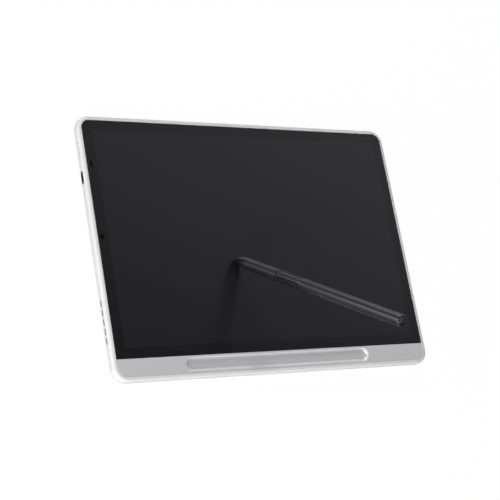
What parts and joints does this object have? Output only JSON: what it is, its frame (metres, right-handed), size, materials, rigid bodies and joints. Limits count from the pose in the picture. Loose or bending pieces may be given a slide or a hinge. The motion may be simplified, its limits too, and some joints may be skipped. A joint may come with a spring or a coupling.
{
  "type": "graphics tablet with screen",
  "caption": "Slim slate drawing tablet with a screen, a pen trough below the glass, side port, keys and speaker slots, and a pen held over the glass.",
  "frame": {"origin": "centre of the whole part's footprint, on the surface that the rubber feet stand on", "axes": "+X to the tablet's right, +Y to its top edge, +Z out of the screen"},
  "size_m": [0.2568, 0.1818, 0.1278],
  "materials": {
    "white_shell": "fine satin moulding",
    "chassis": "moulded",
    "satin_aluminium": "satin, fine lengthwise grain",
    "etched_glass": "etched, low glare",
    "gasket": "matt",
    "panel_glass": "glossy",
    "light_tray": "diffuse white",
    "circuit_board": "solder mask",
    "battery_pouch": "foil pouch",
    "shield_steel": "pressed",
    "dark_mesh": "woven, blackened",
    "camera_module": "glossy",
    "flat_flex": "polyimide film",
    "screw_steel": "zinc plated",
    "foot_rubber": "matt",
    "pen_black": "satin",
    "pen_disc": "satin",
    "pen_button": "satin, ribbed",
    "nib_plastic": "smooth",
    "ferrite": "sintered",
    "copper_winding": "enamelled wire"
  },
  "bodies": {
    "tablet": {"rear_cover": "white_shell", "mid_frame": "chassis", "chin_strip": "satin_aluminium", "cover_glass": "etched_glass", "glass_adhesive": "gasket", "display_panel": "panel_glass", "backlight_unit": "light_tray", "pen_sensor_board": "circuit_board", "battery_left": "battery_pouch", "battery_right": "battery_pouch", "main_board": "circuit_board", "processor_shield": "shield_steel", "radio_shield": "shield_steel", "usb_board": "circuit_board", "usb_c_socket": "shield_steel", "usb_c_tongue": "chassis", "speaker_left": "chassis", "speaker_right": "chassis", "speaker_mesh_left": "dark_mesh", "speaker_mesh_right": "dark_mesh", "microphones": "gasket", "front_camera": "camera_module", "light_sensor": "camera_module", "power_switch": "shield_steel", "volume_switch": "shield_steel", "display_cable": "flat_flex", "sensor_cable": "flat_flex", "battery_cable": "flat_flex", "usb_cable": "flat_flex", "frame_screws": "screw_steel", "board_screws": "screw_steel", "rubber_feet": "foot_rubber"},
    "power_button": {"power_button": "white_shell"},
    "volume_rocker": {"volume_rocker": "white_shell"},
    "pen": {"pen_barrel": "pen_black", "pen_nose": "pen_black", "pen_end_cap": "pen_black", "end_disc": "pen_disc", "pen_carrier": "chassis", "ferrite_core": "ferrite", "coil": "copper_winding", "pressure_sensor": "shield_steel", "pen_board": "circuit_board", "side_switch": "shield_steel"},
    "nib": {"nib": "nib_plastic"},
    "side_button": {"side_button": "pen_button"}
  },
  "joints": [
    {"name": "power_press", "type": "slide", "parent": "tablet", "child": "power_button", "axis": [1, 0, 0], "range_m": [0, 0.0003], "stiffness_N_per_m": 3000},
    {"name": "volume_rock", "type": "hinge", "parent": "tablet", "child": "volume_rocker", "pos_m": [-0.0766, 0.08855, 0.00423], "axis": [0, 0, 1], "range_deg": [-1, 1], "stiffness_Nm_per_rad": 0.6},
    {"name": "pen_lift", "type": "slide", "parent": "tablet", "child": "pen", "axis": [0.2379, -0.5316, 0.8129], "range_m": [0, 0.12]},
    {"name": "nib_press", "type": "slide", "parent": "pen", "child": "nib", "axis": [0.2379, -0.5316, 0.8129], "range_m": [0, 0.0004], "stiffness_N_per_m": 2000},
    {"name": "side_rock", "type": "hinge", "parent": "pen", "child": "side_button", "pos_m": [-0.01072, -0.0379, 0.05039], "axis": [-0.582, -0.7481, -0.3189], "range_deg": [-2, 2], "stiffness_Nm_per_rad": 0.2}
  ]
}
